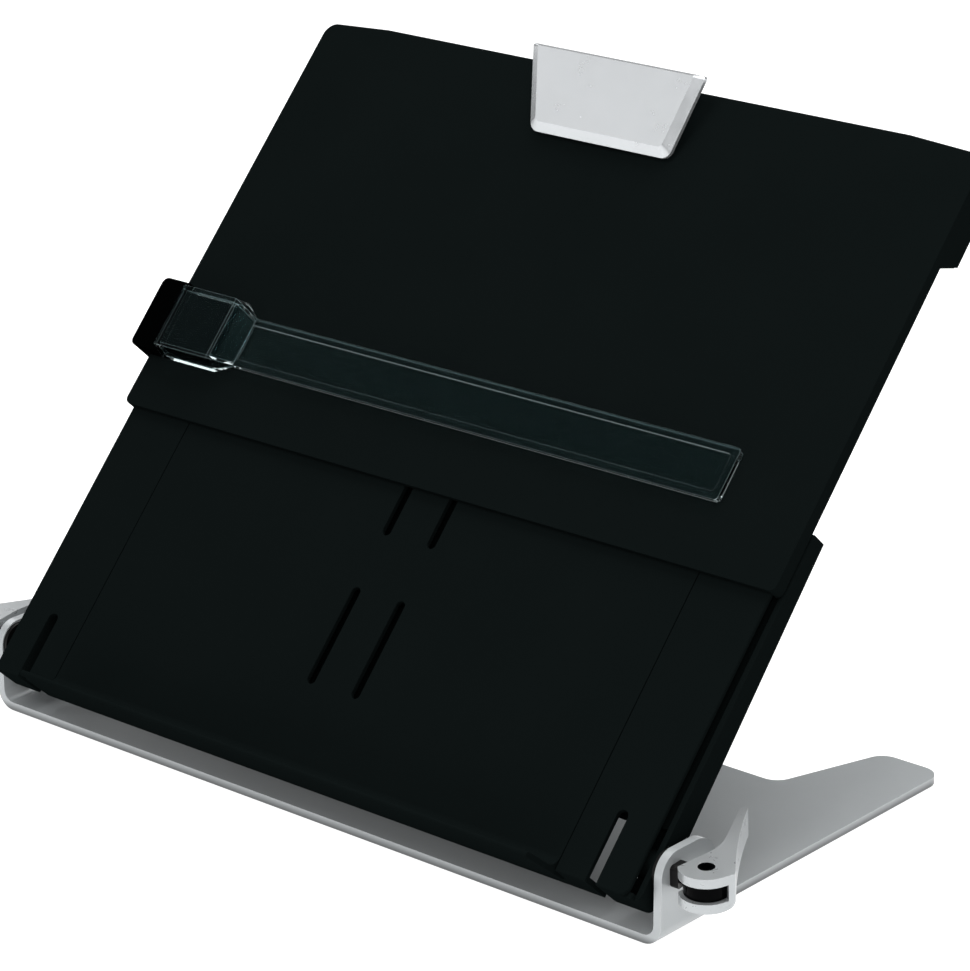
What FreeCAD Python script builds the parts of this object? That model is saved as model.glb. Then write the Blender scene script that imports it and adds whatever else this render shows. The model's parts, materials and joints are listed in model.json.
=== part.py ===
"""Copy holder with a line guide: a tilting, extending board on a bent steel base.

The base's frame: +X to the right, +Y to the back, +Z up, origin on the desk under the middle of the base.
The board's pieces are drawn flat, with X across, Y up the board and Z out of its face, from the tilt pivot,
and are then stood up at the rest tilt.
"""
import FreeCAD, Part

import math
import os

V = FreeCAD.Vector
AXIS_X = V(1, 0, 0)
AXIS_Y = V(0, 1, 0)
AXIS_Z = V(0, 0, 1)

# Base sheet
BASE_WIDTH = 300.0
SHEET = 3.0
BEND_INNER = 4.0
FOOT_HEIGHT = 1.2
FOOT_RADIUS = 7.0
FOOT_INSET = 14.0
BASE_DEPTH = 163.7
PLATE_DEPTH = 120.5
LEG_ROOT_WIDTH = 38.7
LEG_TIP_WIDTH = 24.6
LEG_CORNER = 7.0
PLATE_EDGE_INSET = 5.5
EAR_DEPTH = 28.5
EAR_HEIGHT = 31.3
EAR_FRONT_RADIUS = 8.0
EAR_BACK_RADIUS = 11.0

# Tilt pivot and its clamps
PIVOT_FROM_FRONT = 7.5
PIVOT_ABOVE_PLATE = 23.5
REST_TILT = 47.45
BOLT_RADIUS = 2.5
RUNNING_FIT = 0.05
HOLE_CLEARANCE = 0.1
WASHER_RADIUS = 7.0
WASHER_THICKNESS = 1.4
WASHER_GAP = 0.1
NUT_SIDES = 6
NUT_FLATS = 8.0
NUT_THICKNESS = 3.2
NUT_CLEARANCE = 0.4
SADDLE_DEPTH = 6.8
SADDLE_HEIGHT = 7.6
SADDLE_CORNER = 1.5
SADDLE_GAP = 0.3
PIN_FROM_EAR = 11.8
LEVER_LEAN = 3.0
LEVER_HEIGHT = 12.0
HANDLE_HEIGHT = 10.0
CHEEK = 3.2
CHEEK_RADIUS = 8.9
EYE_RADIUS = 7.4
EYE_GAP = 0.2
PIN_RADIUS = 2.8
PIN_BORE = 1.7
LEVER_CORNER_OUT = 10.1
LEVER_CORNER_BACK = 1.3
LEVER_CORNER_RADIUS = 1.2
TIP_OUTER_IN = 14.8
TIP_OUTER_BACK = 41.6
TIP_OUTER_RADIUS = 1.0
TIP_INNER_IN = 15.6
TIP_INNER_BACK = 38.2
TIP_INNER_RADIUS = 2.5
WAIST_IN = 4.5
WAIST_BACK = 13.7
WAIST_RADIUS = 23.0
FLAT_ANGLE = 216.0
MOUTH_RIGHT = 9.3
MOUTH_RIGHT_FRONT = 0.9
MOUTH_BACK = 6.0
SCOOP_RADIUS = 240.0
SCOOP_DEPTH = 1.0

# Board layers, measured out from the pivot along the board's normal
FACE = 9.0
PANEL_THICKNESS = 2.0
SLIDE_GAP = 0.3
UPPER_THICKNESS = 2.2

# Tray behind the board
FRAME_WALL = 2.0
FRAME_FOOT = -14.0
FRAME_TOP = 117.0
FRAME_FRONT = 5.2
FRAME_BACK_LOW = -5.24
FRAME_BACK_HIGH = -1.68
FRAME_CORNER = 3.0
BOSS_RADIUS = 4.8
BOSS_LENGTH = 9.9
SLOT_WALL = 1.2
WINDOW_WIDTH = 18.4

# Strips and middle panel
STRIP_INSET = 3.1
STRIP_WIDTH = 28.4
SEAM_GAP = 0.3
PANEL_PAST_FRAME = 23.0
RIB_WIDTH = 1.5
RIB_FROM_EDGE = 6.2
RAIL_BED = 2.3
SIDE_SLOT_FROM_EDGE = 14.1
SIDE_SLOT_WIDTH = 4.2
SIDE_SLOT_TOP = 11.6
GUIDE_SLOT_X = 10.0
GUIDE_SLOT_WIDTH = 3.6
GUIDE_SLOT_LENGTH = 36.8
GUIDE_SLOT_LOW = 17.4
GUIDE_SLOT_HIGH = 74.5

# Paper ledge at the foot of the middle panel
LEDGE_REACH = 17.2
LEDGE_THICKNESS = 2.0
LEDGE_DROOP = 1.8
LEDGE_DEPTH = 24.4
LEDGE_BOTTOM = -14.7
LEDGE_FILLET = 4.6
LEDGE_RIM_RADIUS = 0.95
LEDGE_FOOT_RADIUS = 0.5

# Upper board
UPPER_INSET = 0.6
UPPER_OVERLAP = 23.9
UPPER_ABOVE_HEAD = 41.4
UPPER_WALL = 2.2
UPPER_BACK = 5.7
WING_WIDTH = 29.9
WING_DROP = 1.6
TOP_CORNER = 5.0
LOW_CORNER = 2.5
TOP_SLOPE = 1.2
LIP_THICKNESS = 1.8
LIP_WIDTH = 4.4
LIP_FROM_FOOT = 12.9
HEAD_CLEARANCE = 4.0
HEAD_STEP_RISE = 4.5
HEAD_BACK = -3.2
COVER_THICKNESS = 1.8
COVER_FIT = 0.2
COVER_SCREW_FROM_TOP = 11.3
BOARD_TRAVEL = 95.0
RAIL_GROOVE_DEPTH = 1.0
RAIL_GROOVE_WIDTH = 1.4
RAIL_GROOVE_HEIGHT = 7.9
RAIL_GROOVE_FROM_FOOT = 6.9
RAIL_GROOVE_FROM_TOP = 9.4

# Clip on the top edge
CLIP_FROM_TOP = 28.1
CLIP_LOW_OUT = 14.1
CLIP_LEAN = 21.5
CLIP_LENGTH = 30.2
CLIP_LOW_WIDTH = 60.6
CLIP_TOP_WIDTH = 76.0
CLIP_RIM = 1.5
CLIP_RAISE = 1.9
CLIP_BEVEL = 3.5
CLIP_TOP_BEVEL = 0.7
CLIP_CORNER = 4.0
CLIP_TOP_CORNER = 1.0
CLIP_FACE_CORNER = 2.0
CLIP_SHELL = 1.5
CLIP_PIN_FROM_TOP = 11.4
CLIP_PIN_OUT = 15.9
CLIP_PIN_RADIUS = 1.25
CLIP_EYE_RADIUS = 2.6
LUG_SPACING = 25.0
LUG_THICKNESS = 1.6
LUG_GAP = 0.3
BRACKET_BELOW_PIN = 7.5
BRACKET_ABOVE_PIN = 6.5
BRACKET_THICKNESS = 1.2
RIVET_SPACING = 12.5
RIVET_RADIUS = 1.25
RIVET_HEAD_RADIUS = 2.0
RIVET_HEAD = 0.4
PAD_THICKNESS = 0.8
PAD_HEIGHT = 5.0
PAD_GAP = 0.2
SPRING_WIRE = 0.5
SPRING_TURNS = 5
SPRING_GAP = 0.1

# Line guide on the left edge
CARRIAGE_FROM_FOOT = 19.9
CARRIAGE_HEIGHT = 28.0
CARRIAGE_WALL = 5.0
CARRIAGE_GAP = 0.4
CARRIAGE_FRONT = 17.6
CARRIAGE_BACK = 6.4
CARRIAGE_CORNER = 2.5
GUIDE_LIFT = 0.6
HEAD_INSET = 7.3
HEAD_WIDTH = 25.4
HEAD_BELOW_CARRIAGE = 0.1
HEAD_FRONT = 19.6
HEAD_WALL = 1.5
HEAD_DRAFT = 1.8
ARM_FRONT = 15.6
ARM_SHORT = 3.0
ARM_MARGIN = 3.3
SLOPE_WIDTH = 8.7
BAR_INSET = 33.4
BAR_FROM_LOW = 3.4
BAR_HEIGHT = 19.2
BAR_THICKNESS = 1.4
BAR_RIM = 2.6
BAR_RIM_HEIGHT = 0.9
BAR_CORNER = 1.5
HOOK_GAP = 0.2
LEAF_POCKET = 1.2

# Screws and leaf springs
SCREW_HEAD_RADIUS = 2.75
SCREW_HEAD = 1.8
SCREW_SHANK = 1.25
SCREW_CLEARANCE = 0.25
POST_RADIUS = 4.5
BOSS_PILOT_RADIUS = 3.5
SCREW_SEAT = 0.4
POST_TOP = 2.2
SCREW_LOW = 8.0
SCREW_FROM_TOP = 12.0
SCREW_FROM_SEAM = 9.0
SCREW_SPACING = 55.0
STRIP_SCREW_LOW = 22.0
STRIP_SCREW_FROM_SEAM = 6.5
LEAF = 0.4
LEAF_WIDTH = 2.6
LEAF_SPAN = 16.0

# How far a cutter runs past what it cuts, and a joined piece into what it joins
OVER = 1.0

# Worked out from the sizes above
HALF = BASE_WIDTH / 2
FRONT = -BASE_DEPTH / 2
PIVOT = V(0, FRONT + PIVOT_FROM_FRONT, FOOT_HEIGHT + PIVOT_ABOVE_PLATE)
BEND_OUTER = BEND_INNER + SHEET
EAR_INNER = HALF - SHEET
FRAME_HALF = EAR_INNER - WASHER_THICKNESS - WASHER_GAP
UPPER_HALF = FRAME_HALF - UPPER_INSET
WALL_INNER = UPPER_HALF - UPPER_WALL
STRIP_EDGE = FRAME_HALF - STRIP_INSET
SEAM = STRIP_EDGE - STRIP_WIDTH
SIDE_SLOT_X = STRIP_EDGE - SIDE_SLOT_FROM_EDGE
SLOT_OUTER = SIDE_SLOT_X + SIDE_SLOT_WIDTH / 2
SCREW_COLUMNS = (SEAM - SCREW_FROM_SEAM, SEAM - SCREW_FROM_SEAM - SCREW_SPACING)
WING_START = UPPER_HALF - WING_WIDTH
PANEL_TOP = FRAME_TOP + PANEL_PAST_FRAME
UPPER_LOW = FRAME_TOP - UPPER_OVERLAP
HEAD_LOW = FRAME_TOP + BOARD_TRAVEL + HEAD_CLEARANCE
UPPER_TOP = HEAD_LOW + UPPER_ABOVE_HEAD
UNDERSIDE = FACE - PANEL_THICKNESS
UPPER_UNDER = FACE + SLIDE_GAP
UPPER_FACE = UPPER_UNDER + UPPER_THICKNESS
LIP_TOP = UNDERSIDE - SLIDE_GAP
LIP_BOTTOM = LIP_TOP - LIP_THICKNESS
RIB_OUTER = STRIP_EDGE - RIB_FROM_EDGE + RIB_WIDTH
PIN_X = HALF + PIN_FROM_EAR
LEVER_GAP = LEVER_HEIGHT - 2 * CHEEK
CLIP_PIN_UP = UPPER_TOP - CLIP_PIN_FROM_TOP
BRACKET_LOW = CLIP_PIN_UP - BRACKET_BELOW_PIN
BRACKET_HIGH = CLIP_PIN_UP + BRACKET_ABOVE_PIN
CARRIAGE_LOW = UPPER_LOW + CARRIAGE_FROM_FOOT
CARRIAGE_HIGH = CARRIAGE_LOW + CARRIAGE_HEIGHT
CARRIAGE_INNER = UPPER_HALF + CARRIAGE_GAP
CARRIAGE_OUT = CARRIAGE_INNER + CARRIAGE_WALL
HEAD_LEFT = UPPER_HALF - HEAD_INSET
HEAD_RIGHT = HEAD_LEFT - HEAD_WIDTH
SLOPE_END = HEAD_RIGHT - SLOPE_WIDTH
BAR_LOW = CARRIAGE_LOW + BAR_FROM_LOW
BAR_RIGHT = UPPER_HALF - BAR_INSET
BOARD = FreeCAD.Placement(PIVOT, FreeCAD.Rotation(AXIS_X, REST_TILT))
CLIP = FreeCAD.Placement(V(0, UPPER_TOP - CLIP_FROM_TOP, CLIP_LOW_OUT), FreeCAD.Rotation(AXIS_X, CLIP_LEAN))


# Shapes
def box(x0, x1, y0, y1, z0, z1):
    return Part.makeBox(x1 - x0, y1 - y0, z1 - z0, V(x0, y0, z0))


def rod_x(radius, x0, x1, y=0.0, z=0.0):
    return Part.makeCylinder(radius, x1 - x0, V(x0, y, z), AXIS_X)


def rod_z(radius, z0, z1, x=0.0, y=0.0):
    return Part.makeCylinder(radius, z1 - z0, V(x, y, z0), AXIS_Z)


def outline(corners):
    """A closed wire through (point, radius) corners, each rounded by an arc where its radius isn't zero."""
    edges = []
    stretches = []
    count = len(corners)
    for i, (point, radius) in enumerate(corners):
        to_last = (corners[i - 1][0] - point).normalize()
        to_next = (corners[(i + 1) % count][0] - point).normalize()
        half_angle = to_last.getAngle(to_next) / 2
        reach = radius / math.tan(half_angle)
        start = point + to_last * reach
        end = point + to_next * reach
        bisector = (to_last + to_next).normalize()
        middle = point + bisector * (radius / math.sin(half_angle) - radius)
        stretches.append((start, middle, end, radius))
    for i, (start, middle, end, radius) in enumerate(stretches):
        if radius:
            edges.append(Part.Arc(start, middle, end).toShape())
        edges.append(Part.LineSegment(end, stretches[(i + 1) % count][0]).toShape())
    return Part.Wire(edges)


def prism(corners, direction):
    """A solid from an outline of (point, radius) corners, drawn out along a direction."""
    return Part.Face(outline(corners)).extrude(direction)


def flat(points, z0, z1, radius=0.0):
    """A plate between two heights over an outline of (x, y) or (x, y, radius) points."""
    corners = [(V(p[0], p[1], z0), p[2] if len(p) > 2 else radius) for p in points]
    return prism(corners, V(0, 0, z1 - z0))


def profile(points, x0, x1, radius=0.0):
    """A bar between two x values over an outline of (y, z) or (y, z, radius) points."""
    corners = [(V(x0, p[0], p[1]), p[2] if len(p) > 2 else radius) for p in points]
    return prism(corners, V(x1 - x0, 0, 0))


def mirrored(shape):
    return shape.mirror(V(0, 0, 0), AXIS_X)


def both(shape):
    return [shape, mirrored(shape)]


def fuse(first, *others):
    return first.fuse(list(others)).removeSplitter()


def cut(body, *tools):
    return body.cut(list(tools)).removeSplitter()


def placed(shape, placement):
    moved = shape.copy()
    moved.Placement = placement.multiply(moved.Placement)
    return moved


def stood(shape):
    """Moves a shape drawn on the flat board to where the tilted board holds it."""
    return placed(shape, BOARD)


def save(name, shapes):
    solids = shapes if isinstance(shapes, list) else [shapes]
    shape = solids[0] if len(solids) == 1 else Part.makeCompound(solids)
    if not shape.isValid():
        print("not valid:", name)
    print(name, len(shape.Solids), "solids", round(shape.Volume, 1), "mm3")
    shape.exportStep(os.path.join("parts", name + ".step"))


def save_pair(name, right, place=lambda shape: shape):
    """Writes the right-hand piece and its mirror image as two nodes."""
    save(name + "_right", place(right))
    save(name + "_left", mirrored(place(right)))


# Base
def base_plate():
    """Bent sheet: a flat plate with two splayed legs and an upright ear at each side."""
    edge = HALF - PLATE_EDGE_INSET
    back = FRONT + BASE_DEPTH
    plate_back = FRONT + PLATE_DEPTH
    leg_root = edge - LEG_ROOT_WIDTH
    leg_tip = edge - LEG_TIP_WIDTH
    half_outline = [
        (edge, FRONT, 0), (edge, back, LEG_CORNER),
        (leg_tip, back, LEG_CORNER), (leg_root, plate_back, LEG_CORNER)]
    other_half = [(-x, y, r) for x, y, r in reversed(half_outline)]
    top = FOOT_HEIGHT + SHEET
    plate = flat(half_outline + other_half, FOOT_HEIGHT, top)
    bend_centre = V(HALF - BEND_OUTER, FRONT, FOOT_HEIGHT + BEND_OUTER)
    clear = box(bend_centre.x, edge + OVER, FRONT - OVER, FRONT + EAR_DEPTH, 0, top + OVER)
    return fuse(cut(plate, *both(clear)), *both(ear(bend_centre)))


def ear(bend_centre):
    """The right ear with the bend that joins it to the plate."""
    top = FOOT_HEIGHT + EAR_HEIGHT
    back = FRONT + EAR_DEPTH
    upright = profile(
        [(FRONT, bend_centre.z), (FRONT, top, EAR_FRONT_RADIUS),
         (back, top, EAR_BACK_RADIUS), (back, bend_centre.z)],
        EAR_INNER, HALF)
    bend = Part.makeCylinder(BEND_OUTER, EAR_DEPTH, bend_centre, AXIS_Y)
    bend = bend.cut(Part.makeCylinder(BEND_INNER, EAR_DEPTH, bend_centre, AXIS_Y))
    quarter = box(bend_centre.x, HALF, FRONT, back, FOOT_HEIGHT, bend_centre.z)
    hole = rod_x(BOLT_RADIUS + HOLE_CLEARANCE, EAR_INNER - OVER, HALF + OVER, PIVOT.y, PIVOT.z)
    return cut(fuse(upright, bend.common(quarter)), hole)


def foot_pads():
    front = FRONT + FOOT_INSET
    back = FRONT + BASE_DEPTH - FOOT_INSET
    pads = []
    for y in (front, back):
        pads += both(rod_z(FOOT_RADIUS, 0, FOOT_HEIGHT, HALF - PLATE_EDGE_INSET - FOOT_INSET, y))
    return pads


# Clamps at the pivot, drawn at the right ear
def lever_place():
    """The lever's own frame: origin in the middle of the cross pin, Z along the pin, Y towards the back."""
    return FreeCAD.Placement(V(PIN_X, PIVOT.y, PIVOT.z), FreeCAD.Rotation(AXIS_X, LEVER_LEAN))


def eye_bolt():
    """Round eye between the lever's cheeks, and a shank through ear, washer and boss to the nut."""
    eye_half = LEVER_GAP / 2 - EYE_GAP
    eye = placed(rod_z(EYE_RADIUS, -eye_half, eye_half), lever_place())
    shank = rod_x(BOLT_RADIUS, bolt_end(), PIN_X, PIVOT.y, PIVOT.z)
    bore = placed(rod_z(PIN_RADIUS + RUNNING_FIT, -LEVER_HEIGHT, LEVER_HEIGHT), lever_place())
    return cut(fuse(eye, shank), bore)


def bolt_end():
    return FRAME_HALF - BOSS_LENGTH - NUT_THICKNESS - NUT_CLEARANCE


def nut_corner():
    """The nut's radius over its corners."""
    return NUT_FLATS / 2 / math.cos(math.pi / NUT_SIDES)


def clamp_nut():
    """Hexagon nut on the end of the eye bolt, inside the tray."""
    corner = nut_corner()
    start = bolt_end() + NUT_CLEARANCE / 2
    points = []
    for turn in range(NUT_SIDES):
        angle = 2 * math.pi * turn / NUT_SIDES
        points.append((PIVOT.y + corner * math.cos(angle), PIVOT.z + corner * math.sin(angle)))
    nut = profile(points, start, start + NUT_THICKNESS)
    return cut(nut, rod_x(BOLT_RADIUS, start, start + NUT_THICKNESS, PIVOT.y, PIVOT.z))


def saddle_washer():
    """Black saddle between the ear and the lever, hollowed to the cheeks' radius."""
    depth, height = SADDLE_DEPTH / 2, SADDLE_HEIGHT / 2
    body = profile([(-depth, -height), (depth, -height), (depth, height), (-depth, height)],
                   -PIN_FROM_EAR, -EYE_RADIUS - SADDLE_GAP, SADDLE_CORNER)
    hollow = rod_z(CHEEK_RADIUS + SADDLE_GAP, -LEVER_HEIGHT, LEVER_HEIGHT)
    bore = rod_x(BOLT_RADIUS + HOLE_CLEARANCE, -PIN_FROM_EAR - OVER, 0)
    return placed(cut(body, hollow, bore), lever_place())


def friction_washer():
    start = FRAME_HALF + WASHER_GAP
    ring = rod_x(WASHER_RADIUS, start, EAR_INNER, PIVOT.y, PIVOT.z)
    return cut(ring, rod_x(BOLT_RADIUS + HOLE_CLEARANCE, start - OVER, EAR_INNER + OVER, PIVOT.y, PIVOT.z))


def clamp_lever():
    """Cam lever: two cheeks on an outer wall, drawn out into a handle that sweeps in behind the ear."""
    half = LEVER_HEIGHT / 2
    gap = LEVER_GAP / 2
    low = half - HANDLE_HEIGHT
    corner = V(LEVER_CORNER_OUT, LEVER_CORNER_BACK, low)
    touch_angle = math.atan2(corner.y, corner.x) - math.acos(CHEEK_RADIUS / math.hypot(corner.x, corner.y))
    tip_out = V(-TIP_OUTER_IN, TIP_OUTER_BACK, low)
    tip_in = V(-TIP_INNER_IN, TIP_INNER_BACK, low)
    waist = V(-WAIST_IN, WAIST_BACK, low)
    handle = prism(
        [(on_cheek(touch_angle, low), 0), (corner, LEVER_CORNER_RADIUS), (tip_out, TIP_OUTER_RADIUS),
         (tip_in, TIP_INNER_RADIUS), (waist, WAIST_RADIUS), (on_cheek(math.radians(FLAT_ANGLE), low), 0)],
        V(0, 0, HANDLE_HEIGHT))
    body = fuse(cut(rod_z(CHEEK_RADIUS, -half, half), inner_flat(half)), handle)
    along = (tip_out - corner).normalize()
    scoop_centre = (corner + tip_out) / 2 + V(along.y, -along.x, 0) * (SCOOP_RADIUS - SCOOP_DEPTH)
    scoop = rod_z(SCOOP_RADIUS, -half, half, scoop_centre.x, scoop_centre.y)
    reach = PIN_FROM_EAR
    mouth = fuse(
        flat([(-reach, -reach), (MOUTH_RIGHT, -reach), (MOUTH_RIGHT, -MOUTH_RIGHT_FRONT),
              (0, MOUTH_BACK), (-reach, MOUTH_BACK)], -gap, gap),
        rod_z(EYE_RADIUS + EYE_GAP, -gap, gap))
    bore = rod_z(PIN_RADIUS, -half, half)
    return placed(cut(body, scoop, mouth, bore), lever_place())


def on_cheek(angle, z):
    """A point on the cheeks' round outline."""
    return V(CHEEK_RADIUS * math.cos(angle), CHEEK_RADIUS * math.sin(angle), z)


def inner_flat(half):
    """What the lever's flat inner side takes off its round head."""
    start = on_cheek(math.radians(FLAT_ANGLE), 0)
    past = V(-WAIST_IN, WAIST_BACK, 0)
    return flat([(start.x, start.y), (past.x, past.y), (-PIN_FROM_EAR, past.y), (-PIN_FROM_EAR, start.y)],
                -half - OVER, half + OVER)


def cross_pin():
    half = LEVER_HEIGHT / 2
    pin = cut(rod_z(PIN_RADIUS, -half, half), rod_z(PIN_BORE, -half, half))
    return placed(pin, lever_place())


# Tray
def frame_back(y):
    """How far behind the pivot the tray's back lies at a height up the board."""
    share = (y - FRAME_FOOT) / (FRAME_TOP - FRAME_FOOT)
    return FRAME_BACK_LOW + (FRAME_BACK_HIGH - FRAME_BACK_LOW) * share


def back_frame():
    """Tapered tray with side walls, rail beds, pivot bosses, screw posts and open end slots."""
    low, high = FRAME_FOOT, FRAME_TOP
    body = profile(
        [(low, frame_back(low)), (high, frame_back(high)), (high, FRAME_FRONT), (low, FRAME_FRONT)],
        -FRAME_HALF, FRAME_HALF)
    inner = profile(
        [(low + FRAME_WALL, frame_back(low) + FRAME_WALL), (high - FRAME_WALL, frame_back(high) + FRAME_WALL),
         (high - FRAME_WALL, FACE), (low + FRAME_WALL, FACE)],
        FRAME_WALL - FRAME_HALF, FRAME_HALF - FRAME_WALL)
    ledge_room = box(-SEAM, SEAM, low - OVER, low + FRAME_WALL + OVER, ledge_back() - SLIDE_GAP, FACE)
    tray = cut(body, inner, ledge_room)
    wall_inner = FRAME_HALF - FRAME_WALL
    foot_wall = box(SEAM, wall_inner, low, low + FRAME_WALL, frame_back(low) + OVER, UNDERSIDE)
    rib = rail(RIB_OUTER - RIB_WIDTH, RIB_OUTER, UNDERSIDE)
    bed = rail(RIB_OUTER, wall_inner, RAIL_BED)
    window_top = SIDE_SLOT_TOP
    slot_wall = box(SLOT_OUTER, SLOT_OUTER + SLOT_WALL, low, window_top, frame_back(low) + OVER, UNDERSIDE)
    additions = both(foot_wall) + both(rib) + both(bed) + both(slot_wall)
    boss_start = FRAME_HALF - BOSS_LENGTH
    boss = fuse(
        rod_x(BOSS_RADIUS, boss_start, FRAME_HALF),
        box(boss_start, FRAME_HALF, -BOSS_RADIUS, BOSS_RADIUS, frame_back(0), 0))
    additions += both(boss)
    for x, y in screw_places():
        additions.append(rod_z(POST_RADIUS, frame_back(y) + OVER, POST_TOP, x, y))
    tray = fuse(tray, *additions)
    holes = []
    for x, y in screw_places():
        holes.append(rod_z(SCREW_HEAD_RADIUS + SCREW_CLEARANCE, FRAME_BACK_LOW - OVER, SCREW_SEAT, x, y))
        holes.append(rod_z(SCREW_SHANK + SCREW_CLEARANCE, FRAME_BACK_LOW - OVER, POST_TOP + OVER, x, y))
    bore = rod_x(BOLT_RADIUS + RUNNING_FIT, boss_start - OVER, FRAME_HALF + OVER)
    holes += both(bore)
    nut_room = nut_corner() + NUT_CLEARANCE
    pocket = box(bolt_end() - NUT_CLEARANCE, boss_start, -nut_room, nut_room, FRAME_BACK_LOW - OVER, nut_room)
    behind = FRAME_BACK_LOW - OVER
    window = box(SLOT_OUTER - WINDOW_WIDTH, SLOT_OUTER, low + FRAME_WALL, window_top, behind, FACE)
    slot_inner = SLOT_OUTER - SIDE_SLOT_WIDTH
    slot_end = box(slot_inner, SLOT_OUTER, low - OVER, low + FRAME_WALL + OVER, behind, FACE)
    holes += both(pocket) + both(window) + both(slot_end)
    lip_room = LIP_BOTTOM - SLIDE_GAP
    lip_notch = box(RIB_OUTER, wall_inner, high - FRAME_WALL - OVER, high + OVER, lip_room, FACE)
    holes += both(lip_notch)
    holes += both(plan_corner(FRAME_HALF, FRAME_FOOT, FRAME_CORNER, FRAME_BACK_LOW - OVER, FACE))
    return cut(tray, *holes)


def rail(x0, x1, top):
    """A ridge along the tray between two x values, from above the side slot to the tray's top."""
    start, end = SIDE_SLOT_TOP, FRAME_TOP
    back_start, back_end = frame_back(start) + OVER, frame_back(end) + OVER
    return profile([(start, back_start), (end, back_end), (end, top), (start, top)], x0, x1)


def side_slot(z0, z1):
    """The open-ended slot beside the right pivot, as a cutter."""
    half = SIDE_SLOT_WIDTH / 2
    return fuse(
        box(SIDE_SLOT_X - half, SIDE_SLOT_X + half, FRAME_FOOT - OVER, SIDE_SLOT_TOP - half, z0, z1),
        rod_z(half, z0, z1, SIDE_SLOT_X, SIDE_SLOT_TOP - half))


def plan_corner(x, y, radius, z0, z1):
    """What rounding the lower right corner at (x, y) takes away."""
    square = box(x - radius, x + OVER, y - OVER, y + radius, z0, z1)
    return square.cut(rod_z(radius, z0, z1, x - radius, y + radius))


def screw_places():
    """Where the tray is screwed to the panel and the strips."""
    places = []
    high = FRAME_TOP - SCREW_FROM_TOP
    for x in SCREW_COLUMNS:
        places += [(x, SCREW_LOW), (-x, SCREW_LOW), (x, high), (-x, high)]
    x = SEAM + STRIP_SCREW_FROM_SEAM
    return places + [(x, STRIP_SCREW_LOW), (-x, STRIP_SCREW_LOW), (x, high), (-x, high)]


def pilot_boss(x, y):
    """A boss under the panel or strip that takes a screw from behind."""
    return cut(
        rod_z(BOSS_PILOT_RADIUS, POST_TOP, UNDERSIDE + OVER, x, y),
        rod_z(SCREW_SHANK, POST_TOP - OVER, UNDERSIDE, x, y))


def frame_screws():
    return [screw(x, y, SCREW_SEAT, UNDERSIDE - OVER) for x, y in screw_places()]


def screw(x, y, seat, end):
    """A pan-head screw that points out of the board, its head under the seat."""
    return fuse(rod_z(SCREW_HEAD_RADIUS, seat - SCREW_HEAD, seat, x, y), rod_z(SCREW_SHANK, seat, end, x, y))


# Strips and panel
def side_strip():
    """Right strip with a round outer edge, an open slot and its screw bosses."""
    inner = SEAM + SEAM_GAP / 2
    plate = box(inner, STRIP_EDGE, FRAME_FOOT, PANEL_TOP, UNDERSIDE, FACE)
    edges = []
    for edge in plate.Edges:
        middle = edge.CenterOfMass
        if abs(middle.x - STRIP_EDGE) < RUNNING_FIT and abs(middle.z - FACE) < RUNNING_FIT:
            edges.append(edge)
    plate = plate.makeFillet(PANEL_THICKNESS / 2, edges)
    bosses = []
    for x, y in screw_places():
        if x > SEAM:
            bosses.append(pilot_boss(x, y).common(box(SEAM, STRIP_EDGE, FRAME_FOOT, PANEL_TOP, 0, UNDERSIDE)))
    corner = plan_corner(STRIP_EDGE, FRAME_FOOT, FRAME_CORNER, UNDERSIDE - OVER, FACE + OVER)
    return cut(fuse(plate, *bosses), side_slot(UNDERSIDE - OVER, FACE + OVER), corner)


def ledge_back():
    """Where the ledge's foot ends behind the panel's face."""
    return FACE + LEDGE_REACH - LEDGE_DEPTH


def ledge_panel():
    """Middle panel, with the paper ledge drawn along its foot and four guide slots."""
    half = SEAM - SEAM_GAP / 2
    rim = FACE + LEDGE_REACH
    low = LEDGE_BOTTOM
    drop = LEDGE_DROOP
    share = (FACE - ledge_back()) / LEDGE_DEPTH
    top_at_face = low + LEDGE_THICKNESS - drop * share
    under_panel = top_at_face + LEDGE_FOOT_RADIUS
    ledge = [
        (PANEL_TOP, UNDERSIDE), (PANEL_TOP, FACE), (top_at_face, FACE, LEDGE_FILLET),
        (low + LEDGE_THICKNESS - drop, rim, LEDGE_RIM_RADIUS), (low - drop, rim, LEDGE_RIM_RADIUS),
        (low, ledge_back(), LEDGE_FOOT_RADIUS), (low + LEDGE_THICKNESS, ledge_back(), LEDGE_FOOT_RADIUS),
        (under_panel, UNDERSIDE)]
    panel = profile(ledge, -half, half)
    bosses = []
    for x, y in screw_places():
        if abs(x) < SEAM:
            bosses.append(pilot_boss(x, y).common(box(-half, half, FRAME_FOOT, PANEL_TOP, 0, UNDERSIDE)))
    slots = []
    for start in (GUIDE_SLOT_LOW, GUIDE_SLOT_HIGH):
        slots += both(long_slot(GUIDE_SLOT_X, start))
    return cut(fuse(panel, *bosses), *slots)


def long_slot(x, start):
    radius = GUIDE_SLOT_WIDTH / 2
    low = start + radius
    high = start + GUIDE_SLOT_LENGTH - radius
    z0, z1 = UNDERSIDE - OVER, FACE + OVER
    return fuse(
        box(x - radius, x + radius, low, high, z0, z1),
        rod_z(radius, z0, z1, x, low),
        rod_z(radius, z0, z1, x, high))


def leaf(span, rise):
    """An arched leaf lying along Y from the origin, as a (y, z) face at x = 0."""
    low_start, low_top, low_end = V(0, 0, 0), V(0, span / 2, rise - LEAF), V(0, span, 0)
    high_start, high_top, high_end = V(0, 0, LEAF), V(0, span / 2, rise), V(0, span, LEAF)
    edges = [
        Part.Arc(low_start, low_top, low_end).toShape(),
        Part.LineSegment(low_end, high_end).toShape(),
        Part.Arc(high_end, high_top, high_start).toShape(),
        Part.LineSegment(high_start, low_start).toShape(),
    ]
    return Part.Face(Part.Wire(edges))


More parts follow.
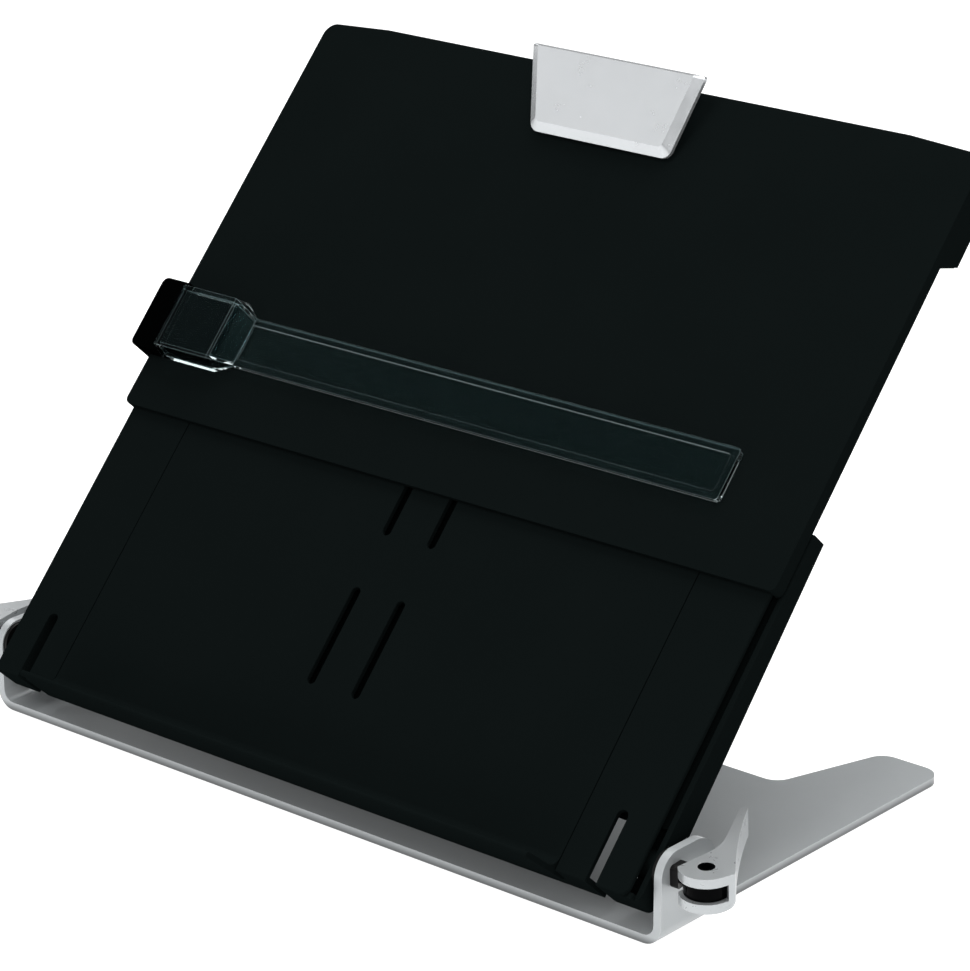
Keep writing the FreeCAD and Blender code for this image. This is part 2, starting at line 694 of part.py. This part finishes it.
def slide_springs():
    """Leaf springs on the rail beds, under the upper board's lips."""
    spring = leaf(LEAF_SPAN, LIP_BOTTOM - SLIDE_GAP - RAIL_BED).extrude(V(LEAF_WIDTH, 0, 0))
    spring.translate(V(RIB_OUTER + SLIDE_GAP, FRAME_TOP - FRAME_WALL - SLIDE_GAP - LEAF_SPAN, RAIL_BED))
    return both(spring)


# Upper board
def wing_cutter():
    """What the twisted right wing takes off the flat front: nothing at the foot, most at the top."""
    far = UPPER_HALF + OVER
    clear = UPPER_FACE + OVER
    share = (far - WING_START) / (UPPER_HALF - WING_START)
    rings = []
    for y, drop in ((UPPER_LOW, RUNNING_FIT), (UPPER_TOP, WING_DROP * share)):
        corners = [(WING_START, UPPER_FACE), (far, UPPER_FACE - drop), (far, clear), (WING_START, clear)]
        rings.append(Part.makePolygon([V(x, y, z) for x, z in corners + corners[:1]]))
    return Part.makeLoft(rings, True, True)


def upper_board():
    """Sliding sheet with side walls, inward rail lips and a deep head, all one moulding."""
    shoulder = UPPER_TOP - TOP_SLOPE
    block_outline = [
        (UPPER_HALF, UPPER_LOW, LOW_CORNER), (UPPER_HALF, shoulder, TOP_CORNER),
        (WING_START, UPPER_TOP, 0), (-WING_START, UPPER_TOP, 0),
        (-UPPER_HALF, shoulder, TOP_CORNER), (-UPPER_HALF, UPPER_LOW, LOW_CORNER)]
    block = flat(block_outline, HEAD_BACK, UPPER_FACE)
    block = cut(block, *both(wing_cutter()))
    inside_top = shoulder - UPPER_WALL
    inside_corner = TOP_CORNER - UPPER_WALL
    hollow = flat(
        [(WALL_INNER, UPPER_LOW - OVER, 0), (WALL_INNER, inside_top, inside_corner),
         (-WALL_INNER, inside_top, inside_corner), (-WALL_INNER, UPPER_LOW - OVER, 0)],
        HEAD_BACK - OVER, UPPER_UNDER)
    step_top = HEAD_LOW + HEAD_STEP_RISE
    below_head = profile(
        [(UPPER_LOW - OVER, HEAD_BACK - OVER), (step_top + OVER, HEAD_BACK - OVER),
         (HEAD_LOW, UPPER_BACK), (UPPER_LOW - OVER, UPPER_BACK)],
        -UPPER_HALF - OVER, UPPER_HALF + OVER)
    shell = cut(block, hollow, below_head)
    lip_inner = WALL_INNER - LIP_WIDTH
    lip_outer = WALL_INNER + (FRAME_HALF - FRAME_WALL - WALL_INNER) / 2
    lip = box(lip_inner, lip_outer, UPPER_LOW + LIP_FROM_FOOT, step_top, LIP_BOTTOM, LIP_TOP)
    front = LIP_BOTTOM - SLIDE_GAP
    floor = profile(
        [(step_top, HEAD_BACK), (step_top + UPPER_WALL, HEAD_BACK),
         (HEAD_LOW + UPPER_WALL, front), (HEAD_LOW, front)],
        -WALL_INNER - OVER, WALL_INNER + OVER)
    places = cover_screw_places()
    bosses = [rod_z(BOSS_PILOT_RADIUS, cover_front(), UPPER_UNDER + OVER, x, y) for x, y in places]
    pilots = [rod_z(SCREW_SHANK, cover_front() - OVER, UPPER_UNDER, x, y) for x, y in places]
    groove_half = RAIL_GROOVE_WIDTH / 2
    groove = box(
        -UPPER_HALF - OVER, RAIL_GROOVE_DEPTH - UPPER_HALF, UPPER_LOW + RAIL_GROOVE_FROM_FOOT,
        UPPER_TOP - RAIL_GROOVE_FROM_TOP, RAIL_GROOVE_HEIGHT - groove_half, RAIL_GROOVE_HEIGHT + groove_half)
    back, front = UPPER_UNDER - OVER, UPPER_FACE + OVER
    rivet_holes = [rod_z(RIVET_RADIUS, back, front, x, y) for x, y in rivet_places()]
    return cut(fuse(shell, floor, *both(lip), *bosses), *pilots, groove, *rivet_holes)


def cover_front():
    return HEAD_BACK + COVER_THICKNESS


def cover_screw_places():
    return [(x * side, UPPER_TOP - COVER_SCREW_FROM_TOP) for x in SCREW_COLUMNS for side in (1, -1)]


def rear_cover():
    """Plate that closes the head from behind, sunk between its walls."""
    low = HEAD_LOW + HEAD_STEP_RISE + UPPER_WALL + COVER_FIT
    high = UPPER_TOP - TOP_SLOPE - UPPER_WALL - COVER_FIT
    half = WALL_INNER - COVER_FIT
    corner = TOP_CORNER - UPPER_WALL
    plate_outline = [(half, low, 0), (half, high, corner), (-half, high, corner), (-half, low, 0)]
    plate = flat(plate_outline, HEAD_BACK, cover_front())
    radius = SCREW_SHANK + SCREW_CLEARANCE
    holes = [rod_z(radius, HEAD_BACK - OVER, cover_front() + OVER, x, y) for x, y in cover_screw_places()]
    return cut(plate, *holes)


def cover_screws():
    return [screw(x, y, HEAD_BACK, UNDERSIDE) for x, y in cover_screw_places()]


# Clip
def rivet_places():
    y = (BRACKET_LOW + BRACKET_HIGH) / 2
    return [(RIVET_SPACING / 2, y), (-RIVET_SPACING / 2, y)]


def clip_bracket():
    """Plate on the board's face with two upright ears for the clip's pin."""
    ear_inner = LUG_SPACING / 2 + LUG_THICKNESS / 2 + LUG_GAP
    ear_outer = ear_inner + LUG_THICKNESS
    plate = box(-ear_outer, ear_outer, BRACKET_LOW, BRACKET_HIGH, UPPER_FACE, UPPER_FACE + BRACKET_THICKNESS)
    low, high = CLIP_PIN_UP - CLIP_EYE_RADIUS, CLIP_PIN_UP + CLIP_EYE_RADIUS
    upright = fuse(
        rod_x(CLIP_EYE_RADIUS, ear_inner, ear_outer, CLIP_PIN_UP, CLIP_PIN_OUT),
        box(ear_inner, ear_outer, low, high, UPPER_FACE, CLIP_PIN_OUT))
    bore = rod_x(CLIP_PIN_RADIUS, -ear_outer - OVER, ear_outer + OVER, CLIP_PIN_UP, CLIP_PIN_OUT)
    top = UPPER_FACE + BRACKET_THICKNESS
    holes = [rod_z(RIVET_RADIUS, UPPER_FACE - OVER, top + OVER, x, y) for x, y in rivet_places()]
    return cut(fuse(plate, *both(upright)), bore, *holes)


def bracket_rivets():
    """Two rivets that hold the bracket on the board."""
    top = UPPER_FACE + BRACKET_THICKNESS
    rivets = []
    for x, y in rivet_places():
        shank = rod_z(RIVET_RADIUS, UPPER_UNDER, top, x, y)
        head = rod_z(RIVET_HEAD_RADIUS, top, top + RIVET_HEAD, x, y)
        rivets.append(fuse(shank, head))
    return rivets


def clip_pin_point():
    """The clip's pin in the clip's own frame."""
    return CLIP.inverse().multVec(V(0, CLIP_PIN_UP, CLIP_PIN_OUT))


def trapezoid(low_y, high_y, inset, z, corner):
    """The clip's outline at a height, drawn in by an inset at the sides."""
    slope = (CLIP_TOP_WIDTH - CLIP_LOW_WIDTH) / 2 / CLIP_LENGTH
    low = CLIP_LOW_WIDTH / 2 + slope * low_y - inset
    high = CLIP_LOW_WIDTH / 2 + slope * high_y - inset
    top_corner = corner * CLIP_TOP_CORNER / CLIP_CORNER
    return [(V(low, low_y, z), corner), (V(high, high_y, z), top_corner),
            (V(-high, high_y, z), top_corner), (V(-low, low_y, z), corner)]


def paper_clip():
    """Trapezoid cover with a bevelled rim, hollow behind, with two lugs for its pin."""
    rim = prism(trapezoid(0, CLIP_LENGTH, 0, -CLIP_RIM, CLIP_CORNER), V(0, 0, CLIP_RIM))
    foot = outline(trapezoid(RUNNING_FIT, CLIP_LENGTH - RUNNING_FIT, RUNNING_FIT, 0, CLIP_CORNER))
    face = outline(
        trapezoid(CLIP_BEVEL, CLIP_LENGTH - CLIP_TOP_BEVEL, CLIP_BEVEL, CLIP_RAISE, CLIP_FACE_CORNER))
    raised = Part.makeLoft([foot, face], True, True)
    inset = CLIP_BEVEL + CLIP_SHELL
    under_face = CLIP_RAISE - CLIP_SHELL
    pocket = prism(
        trapezoid(inset, CLIP_LENGTH - inset, inset, -CLIP_RIM - OVER, CLIP_FACE_CORNER),
        V(0, 0, CLIP_RIM + OVER + under_face))
    pin = clip_pin_point()
    lug_inner = LUG_SPACING / 2 - LUG_THICKNESS / 2
    lug_outer = LUG_SPACING / 2 + LUG_THICKNESS / 2
    low, high = pin.y - CLIP_EYE_RADIUS, pin.y + CLIP_EYE_RADIUS
    lug = fuse(
        rod_x(CLIP_EYE_RADIUS, lug_inner, lug_outer, pin.y, pin.z),
        box(lug_inner, lug_outer, low, high, pin.z, under_face + RUNNING_FIT))
    bore = rod_x(CLIP_PIN_RADIUS + RUNNING_FIT, -lug_outer - OVER, lug_outer + OVER, pin.y, pin.z)
    return placed(cut(fuse(cut(fuse(rim, raised), pocket), *both(lug)), bore), CLIP)


def clip_pin():
    end = LUG_SPACING / 2 + LUG_THICKNESS * 2
    return rod_x(CLIP_PIN_RADIUS, -end, end, CLIP_PIN_UP, CLIP_PIN_OUT)


def clip_pad():
    """Rubber strip under the clip's lower edge."""
    half = CLIP_LOW_WIDTH / 2 - CLIP_CORNER
    back = -CLIP_RIM - PAD_THICKNESS
    pad = box(-half, half, CLIP_RIM, PAD_HEIGHT, back, -CLIP_RIM)
    pad = placed(pad, CLIP)
    clear = box(-half - OVER, half + OVER, HEAD_LOW, UPPER_TOP, 0, UPPER_FACE + PAD_GAP)
    return cut(pad, clear)


def clip_spring():
    """Torsion spring: close coils round the pin as a sleeve, with a leg on the board's bracket."""
    radius = CLIP_PIN_RADIUS + LUG_GAP + SPRING_WIRE
    half = SPRING_WIRE * SPRING_TURNS
    coil = cut(
        rod_x(radius, -half, half, CLIP_PIN_UP, CLIP_PIN_OUT),
        rod_x(CLIP_PIN_RADIUS + SPRING_GAP, -half, half, CLIP_PIN_UP, CLIP_PIN_OUT))
    bed = UPPER_FACE + BRACKET_THICKNESS + RUNNING_FIT
    edge = SPRING_WIRE - half
    rise_low = CLIP_PIN_UP - radius
    leg = box(-half, edge, BRACKET_LOW + SPRING_WIRE, CLIP_PIN_UP, bed, bed + SPRING_WIRE)
    rise = box(-half, edge, rise_low, rise_low + SPRING_WIRE, bed, CLIP_PIN_OUT)
    return fuse(coil, leg, rise)


# Line guide
def guide_carriage():
    """Slider on the board's left edge, with an arm over the face that carries the clear guide."""
    low, high = CARRIAGE_LOW, CARRIAGE_HIGH
    base = UPPER_FACE + SLIDE_GAP
    inner = CARRIAGE_INNER
    side = box(-CARRIAGE_OUT, -inner, low, high, CARRIAGE_BACK, CARRIAGE_FRONT)
    front = box(-CARRIAGE_OUT, -HEAD_LEFT, low, high, base, CARRIAGE_FRONT)
    hook_end = UPPER_HALF - RAIL_GROOVE_DEPTH + HOOK_GAP
    hook_half = RAIL_GROOVE_WIDTH / 2 - SLIDE_GAP
    hook = box(-inner, -hook_end, low, high, RAIL_GROOVE_HEIGHT - hook_half, RAIL_GROOVE_HEIGHT + hook_half)
    body = fuse(side, front, guide_arm(), hook)
    edges = []
    for edge in body.Edges:
        middle = edge.CenterOfMass
        at_side = abs(middle.x + CARRIAGE_OUT) < RUNNING_FIT
        at_end = abs(middle.y - low) < RUNNING_FIT or abs(middle.y - high) < RUNNING_FIT
        if at_side and at_end:
            edges.append(edge)
    body = body.makeFillet(CARRIAGE_CORNER, edges)
    middle = (low + high) / 2
    reach = LEAF_SPAN / 2 + LEAF
    pocket = box(
        -inner - LEAF_POCKET, -inner, middle - reach, middle + reach, base - LEAF_WIDTH - OVER, base + LEAF)
    return cut(body, pocket)


def guide_arm():
    """The carriage's arm over the board, which the clear guide's head snaps over."""
    low, high = CARRIAGE_LOW + ARM_MARGIN, CARRIAGE_HIGH - ARM_MARGIN
    return box(-HEAD_LEFT, -HEAD_RIGHT - ARM_SHORT, low, high, UPPER_FACE + SLIDE_GAP, ARM_FRONT)


def guide_spring():
    """Friction leaf in the carriage's side, bearing on the board's edge."""
    inner = CARRIAGE_INNER
    face = leaf(LEAF_SPAN, LEAF_POCKET + CARRIAGE_GAP - RUNNING_FIT)
    face.rotate(V(0, 0, 0), AXIS_Y, 90)
    middle = CARRIAGE_LOW + CARRIAGE_HEIGHT / 2
    spring = face.extrude(V(0, 0, LEAF_WIDTH))
    foot = UPPER_FACE + SLIDE_GAP - LEAF_WIDTH - LEAF
    spring.translate(V(-inner - LEAF_POCKET, middle - LEAF_SPAN / 2, foot))
    return spring


def guide_ring(x, low, high, back, front, inset):
    """A section across the clear guide at an x value, drawn in towards its front by an inset."""
    corners = [(low, back), (low + inset, front), (high - inset, front), (high, back)]
    return Part.makePolygon([V(x, y, z) for y, z in corners + corners[:1]])


def guide_head(wall, back):
    """The clear guide's head and slope, drawn in by a wall from their outside."""
    low, high = CARRIAGE_LOW - HEAD_BELOW_CARRIAGE + wall, CARRIAGE_HIGH - wall
    bar_low, bar_high = BAR_LOW + wall, BAR_LOW + BAR_HEIGHT - wall
    bar_front = UPPER_FACE + GUIDE_LIFT + BAR_THICKNESS + BAR_RIM_HEIGHT - wall
    left = guide_ring(wall - HEAD_LEFT, low, high, back, HEAD_FRONT - wall, HEAD_DRAFT)
    right = guide_ring(-HEAD_RIGHT, low, high, back, HEAD_FRONT - wall, HEAD_DRAFT)
    end = guide_ring(-SLOPE_END, bar_low, bar_high, back, bar_front, RUNNING_FIT)
    return Part.makeLoft([left, right], True, True).fuse(Part.makeLoft([right, end], True, True))


def line_guide():
    """Clear moulding: a hollow head over the carriage's arm, a slope and a thin bar with a raised rim."""
    base = UPPER_FACE + GUIDE_LIFT
    low, high = BAR_LOW, BAR_LOW + BAR_HEIGHT
    top = base + BAR_THICKNESS
    rim_end = BAR_RIGHT - BAR_RIM
    rim_low, rim_high = low + BAR_RIM, high - BAR_RIM
    bar_outline = [
        (-SLOPE_END, low, 0), (BAR_RIGHT, low, BAR_CORNER),
        (BAR_RIGHT, high, BAR_CORNER), (-SLOPE_END, high, 0)]
    window_outline = [
        (-SLOPE_END, rim_low, 0), (rim_end, rim_low, BAR_CORNER), (rim_end, rim_high, BAR_CORNER),
        (-SLOPE_END, rim_high, 0)]
    bar = flat(bar_outline, base, top + BAR_RIM_HEIGHT)
    window = flat(window_outline, top, top + BAR_RIM_HEIGHT + OVER)
    solid_end = box(-SLOPE_END - HEAD_WALL, -SLOPE_END + OVER, low, high, base - OVER, top)
    hollow = guide_head(HEAD_WALL, base - OVER).cut(solid_end)
    return cut(fuse(guide_head(0, base), cut(bar, window)), hollow, guide_arm())


def main():
    os.makedirs("parts", exist_ok=True)
    save("base_plate", base_plate())
    save("foot_pads", foot_pads())
    save_pair("eye_bolt", eye_bolt())
    save("clamp_nuts", both(clamp_nut()))
    save_pair("saddle_washer", saddle_washer())
    save("friction_washers", both(friction_washer()))
    save_pair("clamp_lever", clamp_lever())
    save_pair("cross_pin", cross_pin())
    save("back_frame", stood(back_frame()))
    save_pair("side_strip", side_strip(), stood)
    save("ledge_panel", stood(ledge_panel()))
    save("frame_screws", [stood(one) for one in frame_screws()])
    save("slide_springs", [stood(one) for one in slide_springs()])
    save("upper_board", stood(upper_board()))
    save("rear_cover", stood(rear_cover()))
    save("cover_screws", [stood(one) for one in cover_screws()])
    save("clip_bracket", stood(clip_bracket()))
    save("bracket_rivets", [stood(one) for one in bracket_rivets()])
    save("paper_clip", stood(paper_clip()))
    save("clip_pin", stood(clip_pin()))
    save("clip_spring", stood(clip_spring()))
    save("clip_pad", stood(clip_pad()))
    save("guide_carriage", stood(guide_carriage()))
    save("guide_spring", stood(guide_spring()))
    save("line_guide", stood(line_guide()))


main()
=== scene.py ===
"""Looks of the copy holder: materials, softened edges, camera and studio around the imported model."""

import json
import math

import bpy
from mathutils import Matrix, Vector

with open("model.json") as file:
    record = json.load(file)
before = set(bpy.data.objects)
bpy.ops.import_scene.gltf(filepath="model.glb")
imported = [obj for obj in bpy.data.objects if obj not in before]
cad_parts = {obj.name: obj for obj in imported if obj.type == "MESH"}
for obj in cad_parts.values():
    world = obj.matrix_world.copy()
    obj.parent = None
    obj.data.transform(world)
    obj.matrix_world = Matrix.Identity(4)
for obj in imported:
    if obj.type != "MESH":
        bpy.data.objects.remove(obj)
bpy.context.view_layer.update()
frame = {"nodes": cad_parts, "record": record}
NODES = frame["nodes"]

# Camera, from the photograph's calibrated perspective
PHOTO_WIDTH = 970
FOCAL_PX = 3959
SENSOR = 36
EYE = (0.82834, -0.96488, 0.55748)
YAW = 40.35
PITCH = 19.89

# Softened edges, in metres
SOFT = {
    "base_plate": 0.00045,
    "back_frame": 0.0003,
    "side_strip_right": 0.00025,
    "side_strip_left": 0.00025,
    "ledge_panel": 0.0003,
    "upper_board": 0.0004,
    "rear_cover": 0.0003,
    "paper_clip": 0.0003,
    "guide_carriage": 0.0005,
    "line_guide": 0.0006,
    "clamp_lever_right": 0.0004,
    "clamp_lever_left": 0.0004,
    "saddle_washer_right": 0.0003,
    "saddle_washer_left": 0.0003,
}
WELD = 0.000002
SOFT_SEGMENTS = 3
FLAT_ANGLE = math.radians(0.5)
SHARP_ANGLE = math.radians(24)
AREA_WEIGHT = 100

# Noise textures: scales in cells per metre, and the part of a noise's range that is used
NOISE_DETAIL = 4.0
NOISE_ROUGHNESS = 0.55
NOISE_LOW = 0.3
NOISE_HIGH = 0.7
CLOUD_SCALE = 22.0
SMEAR_SCALE = 160.0
SMEAR_DETAIL = 6.0
GRAIN_DETAIL = 2.0
RELIEF_DEPTH = 0.0001

# Clear acrylic
CLEAR_TINT = (0.80, 0.95, 0.96)
CLEAR_GLOSS_TINT = (0.5, 0.95, 1.0)
CLEAR_ROUGHNESS = (0.02, 0.06)
CLEAR_IOR = 1.3
CLEAR_SMEAR_SCALE = 90.0
CLEAR_WAVE_SCALE = 60.0
CLEAR_WAVE = 0.01

# Opaque surfaces. Painted shade darkens the base sheet's edge: between two heights, down to a share of its
# colour.
SURFACES = {
    "silver_paint": dict(
        dark=(0.36, 0.38, 0.39), light=(0.41, 0.43, 0.44), roughness=(0.30, 0.38),
        # Painted shade: the base sheet's colour darkens towards its bottom edge, standing in for shade near
        # the floor
        grain=2600.0, relief=0.05, metallic=0.3, shade=(0.0018, 0.0042, 0.3)),
    "lever_silver": dict(
        dark=(0.40, 0.42, 0.43), light=(0.45, 0.47, 0.48), roughness=(0.26, 0.34),
        grain=2200.0, relief=0.0, metallic=0.6),
    "clip_silver": dict(
        dark=(0.54, 0.56, 0.575), light=(0.62, 0.64, 0.655), roughness=(0.22, 0.28),
        grain=2600.0, relief=0.0, metallic=0.7),
    "black_plastic": dict(
        dark=(0.0029, 0.0043, 0.0043), light=(0.0036, 0.0052, 0.0052), roughness=(0.42, 0.54),
        grain=3000.0, relief=0.3, specular=0.0),
    "carriage_black": dict(
        dark=(0.0002, 0.0003, 0.0003), light=(0.0005, 0.0006, 0.0006), roughness=(0.30, 0.42),
        grain=3000.0, relief=0.2, specular=0.0),
    "black_steel": dict(
        dark=(0.0005, 0.0006, 0.0007), light=(0.0012, 0.0013, 0.0015), roughness=(0.10, 0.16),
        grain=1600.0, relief=0.0, specular=0.02),
    "black_nylon": dict(
        dark=(0.002, 0.002, 0.002), light=(0.004, 0.004, 0.004), roughness=(0.3, 0.45),
        grain=2000.0, relief=0.2, specular=0.15),
    "black_rubber": dict(
        dark=(0.008, 0.008, 0.008), light=(0.014, 0.014, 0.014), roughness=(0.7, 0.85),
        grain=1800.0, relief=0.4),
    "bright_steel": dict(
        dark=(0.42, 0.42, 0.43), light=(0.52, 0.52, 0.53), roughness=(0.22, 0.35),
        grain=2400.0, relief=0.15, metallic=1.0),
    # Painted glow and highlight: the clear guide's rounded edges give off a faint light, as bright lines,
    # though they are no lamp
    "painted_glow_guide_edge": dict(
        dark=(0.10, 0.13, 0.14), light=(0.14, 0.18, 0.19), roughness=(0.35, 0.5),
        grain=900.0, relief=0.0, specular=0.2, glow=(0.17, 0.21, 0.215)),
    # Painted highlight: a near-white silver on the rounded edges of the base sheet, clip and levers,
    # standing in for the light they catch
    "painted_highlight_edge": dict(
        dark=(0.88, 0.90, 0.91), light=(0.92, 0.94, 0.95), roughness=(0.22, 0.30),
        grain=2400.0, relief=0.0, metallic=0.3),
}

# The carriage is a deeper black than its slot, and some pieces' rounded edges get a painted highlight, or on
# the guide a painted glow
OWN_MATERIAL = {"guide_carriage": "carriage_black"}
EDGES = {
    "line_guide": "painted_glow_guide_edge",
    "base_plate": "painted_highlight_edge",
    "paper_clip": "painted_highlight_edge",
    "clamp_lever_right": "painted_highlight_edge",
    "clamp_lever_left": "painted_highlight_edge",
}
EDGE_SLOT = 1

# Studio: metres and watts
WHITE = (1, 1, 1, 1)
FLOOR_SIZE = 12
FLOOR_COLOUR = (0.3, 0.3, 0.3, 1)
FLOOR_ROUGHNESS = 0.9
FLOOR_SPECULAR = 0.1
FLOOR_GLOW = 0.97
SKY_STRENGTH = 0.15
LIGHTS = {
    "top": dict(place=(0.2, 0.5, 1.6), target=(0.0, 0.0, 0.0), size=1.4, power=34),
    "right": dict(place=(1.7, 0.3, 0.9), target=(0.0, 0.0, 0.1), size=1.0, power=2),
    "left": dict(place=(-1.5, 0.5, 1.2), target=(0.0, 0.0, 0.1), size=1.0, power=6),
    "front_left": dict(place=(-1.3, -1.6, 0.62), target=(0.0, 0.0, 0.15), size=1.2, power=4),
    "front_right": dict(place=(1.25, -1.5, 1.05), target=(0.0, 0.0, 0.1), size=0.8, power=16),
    "front_high": dict(place=(0.1, -1.4, 1.9), target=(0.0, 0.0, 0.05), size=1.0, power=24),
}


def noise(tree, place, scale, detail=NOISE_DETAIL):
    """A noise value at each point of the object."""
    texture = tree.nodes.new("ShaderNodeTexNoise")
    texture.inputs["Scale"].default_value = scale
    texture.inputs["Detail"].default_value = detail
    texture.inputs["Roughness"].default_value = NOISE_ROUGHNESS
    tree.links.new(place.outputs["Object"], texture.inputs["Vector"])
    return texture.outputs["Fac"]


def spread(tree, value, low, high, start=NOISE_LOW, end=NOISE_HIGH):
    """Maps a value onto a range."""
    ranged = tree.nodes.new("ShaderNodeMapRange")
    ranged.inputs["From Min"].default_value = start
    ranged.inputs["From Max"].default_value = end
    ranged.inputs["To Min"].default_value = low
    ranged.inputs["To Max"].default_value = high
    tree.links.new(value, ranged.inputs["Value"])
    return ranged.outputs["Result"]


def blend(tree, value, first, second):
    """A colour between two, by a value from 0 to 1."""
    mix = tree.nodes.new("ShaderNodeMix")
    mix.data_type = "RGBA"
    mix.inputs["A"].default_value = (*first, 1)
    mix.inputs["B"].default_value = (*second, 1)
    tree.links.new(value, mix.inputs["Factor"])
    return mix.outputs["Result"]


def paint_shade_below(tree, place, colour, low, high, share):
    """The colour with painted shade: darkened below the height high and down to a share of itself at the
    height low.
    """
    parts = tree.nodes.new("ShaderNodeSeparateXYZ")
    tree.links.new(place.outputs["Object"], parts.inputs["Vector"])
    height = spread(tree, parts.outputs["Z"], share, 1.0, low, high)
    darker = tree.nodes.new("ShaderNodeVectorMath")
    darker.operation = "SCALE"
    tree.links.new(colour, darker.inputs["Vector"])
    tree.links.new(height, darker.inputs["Scale"])
    return darker.outputs["Vector"]


def bump(tree, shader, height, strength):
    """Fine relief on a shader, from a height value."""
    relief = tree.nodes.new("ShaderNodeBump")
    relief.inputs["Strength"].default_value = strength
    relief.inputs["Distance"].default_value = RELIEF_DEPTH
    tree.links.new(height, relief.inputs["Height"])
    tree.links.new(relief.outputs["Normal"], shader.inputs["Normal"])


def new_material(name):
    """A new material, with its node tree, shader and texture coordinates."""
    made = bpy.data.materials.new(name)
    made.use_nodes = True
    tree = made.node_tree
    return made, tree, tree.nodes["Principled BSDF"], tree.nodes.new("ShaderNodeTexCoord")


def surface(name, dark, light, roughness, grain, relief, metallic=0.0, specular=0.5, glow=None, shade=None):
    """A satin or matte surface: cloudy colour, uneven roughness and a fine grain in relief."""
    made, tree, shader, place = new_material(name)
    colour = blend(tree, noise(tree, place, CLOUD_SCALE), dark, light)
    # Painted shade, where a surface has one: darker towards the bottom
    if shade:
        colour = paint_shade_below(tree, place, colour, *shade)
    tree.links.new(colour, shader.inputs["Base Color"])
    smear = noise(tree, place, SMEAR_SCALE, SMEAR_DETAIL)
    tree.links.new(spread(tree, smear, *roughness), shader.inputs["Roughness"])
    shader.inputs["Metallic"].default_value = metallic
    shader.inputs["Specular IOR Level"].default_value = specular
    # Painted glow: the surface gives off light though it is no lamp
    if glow:
        shader.inputs["Emission Color"].default_value = (*glow, 1)
        shader.inputs["Emission Strength"].default_value = 1.0
    bump(tree, shader, noise(tree, place, grain, GRAIN_DETAIL), relief)
    return made


def clear_plastic(name):
    """Clear acrylic with a cool tint."""
    made, tree, shader, place = new_material(name)
    shader.inputs["Base Color"].default_value = (*CLEAR_TINT, 1)
    shader.inputs["Transmission Weight"].default_value = 1.0
    shader.inputs["IOR"].default_value = CLEAR_IOR
    shader.inputs["Specular Tint"].default_value = (*CLEAR_GLOSS_TINT, 1)
    smear = noise(tree, place, CLEAR_SMEAR_SCALE)
    tree.links.new(spread(tree, smear, *CLEAR_ROUGHNESS), shader.inputs["Roughness"])
    bump(tree, shader, noise(tree, place, CLEAR_WAVE_SCALE), CLEAR_WAVE)
    return made


def soften(node, width):
    """Rounds a CAD piece's sharp edges without touching its mesh."""
    weld = node.modifiers.new("weld", "WELD")
    weld.merge_threshold = WELD
    plain = node.modifiers.new("plain", "DECIMATE")
    plain.decimate_type = "DISSOLVE"
    plain.angle_limit = FLAT_ANGLE
    round_edges = node.modifiers.new("round_edges", "BEVEL")
    round_edges.width = width
    round_edges.segments = SOFT_SEGMENTS
    round_edges.limit_method = "ANGLE"
    round_edges.angle_limit = SHARP_ANGLE
    round_edges.use_clamp_overlap = True
    even = node.modifiers.new("even", "WEIGHTED_NORMAL")
    even.weight = AREA_WEIGHT


def dress():
    """Gives every CAD piece its material and its soft edges."""
    materials = {name: surface(name, **look) for name, look in SURFACES.items()}
    materials["clear_plastic"] = clear_plastic("clear_plastic")
    slots = {part["node"]: part["material_slot"] for part in frame["record"]["subparts"]}
    for name, node in NODES.items():
        node.data.materials.clear()
        node.data.materials.append(materials[OWN_MATERIAL.get(name, slots[name])])
        if name in SOFT:
            soften(node, SOFT[name])
        # The rounded edges take a painted highlight or a painted glow
        if name in EDGES:
            node.data.materials.append(materials[EDGES[name]])
            node.modifiers["round_edges"].material = EDGE_SLOT


def add_floor():
    """A pale floor that glows, so that it stays white."""
    bpy.ops.mesh.primitive_plane_add(size=FLOOR_SIZE, location=(0, 0, 0))
    floor = bpy.context.object
    floor.name = "floor"
    pale = bpy.data.materials.new("pale_floor")
    pale.use_nodes = True
    shader = pale.node_tree.nodes["Principled BSDF"]
    shader.inputs["Base Color"].default_value = FLOOR_COLOUR
    shader.inputs["Roughness"].default_value = FLOOR_ROUGHNESS
    shader.inputs["Specular IOR Level"].default_value = FLOOR_SPECULAR
    shader.inputs["Emission Color"].default_value = WHITE
    shader.inputs["Emission Strength"].default_value = FLOOR_GLOW
    floor.data.materials.append(pale)


def add_sky():
    """Weak, even light from all around."""
    world = bpy.data.worlds.new("studio")
    bpy.context.scene.world = world
    world.use_nodes = True
    background = world.node_tree.nodes["Background"]
    background.inputs["Color"].default_value = WHITE
    background.inputs["Strength"].default_value = SKY_STRENGTH


def add_light(name, place, target, size, power):
    """A square soft light at a place, turned to its target."""
    light = bpy.data.lights.new(name, "AREA")
    light.shape = "SQUARE"
    light.size = size
    light.energy = power
    lamp = bpy.data.objects.new(name, light)
    lamp.location = place
    lamp.rotation_euler = (Vector(target) - Vector(place)).to_track_quat("-Z", "Y").to_euler()
    bpy.context.scene.collection.objects.link(lamp)


def add_camera():
    """The camera, at the photograph's eye point."""
    camera = bpy.data.cameras.new("camera")
    camera.sensor_fit = "HORIZONTAL"
    camera.sensor_width = SENSOR
    camera.lens = FOCAL_PX * SENSOR / PHOTO_WIDTH
    eye = bpy.data.objects.new("camera", camera)
    eye.location = EYE
    eye.rotation_euler = (math.radians(90 - PITCH), 0, math.radians(YAW))
    bpy.context.scene.collection.objects.link(eye)
    bpy.context.scene.camera = eye


def studio():
    """Pale floor, soft lights and the camera."""
    bpy.context.scene.view_settings.view_transform = "Standard"
    add_floor()
    add_sky()
    for name, light in LIGHTS.items():
        add_light(name, **light)
    add_camera()


dress()
studio()
